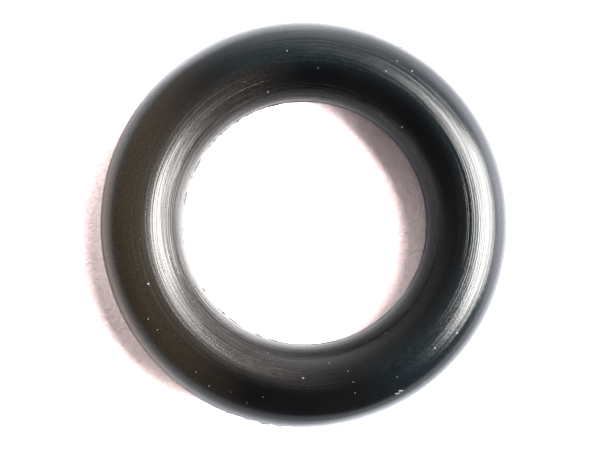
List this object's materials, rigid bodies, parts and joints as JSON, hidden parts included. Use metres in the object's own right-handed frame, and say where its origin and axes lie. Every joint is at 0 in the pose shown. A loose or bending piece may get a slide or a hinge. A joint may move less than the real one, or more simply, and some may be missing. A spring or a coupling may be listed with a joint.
{
  "type": "o-ring",
  "caption": "Black rubber ring of round section that seals the gap between two round parts when it is squeezed in a groove.",
  "frame": {"origin": "centre of the ring, on its axis and on the plane where the two mould halves met", "axes": "+Z along the ring's axis; the ring lies flat with its lowest line at Z -1.5 mm; +X is towards the right of the picture and +Y towards its top"},
  "size_m": [0.0151, 0.015, 0.003],
  "materials": {
    "rubber": "satin"
  },
  "bodies": {
    "root": {"o_ring": "rubber"}
  },
  "joints": []
}
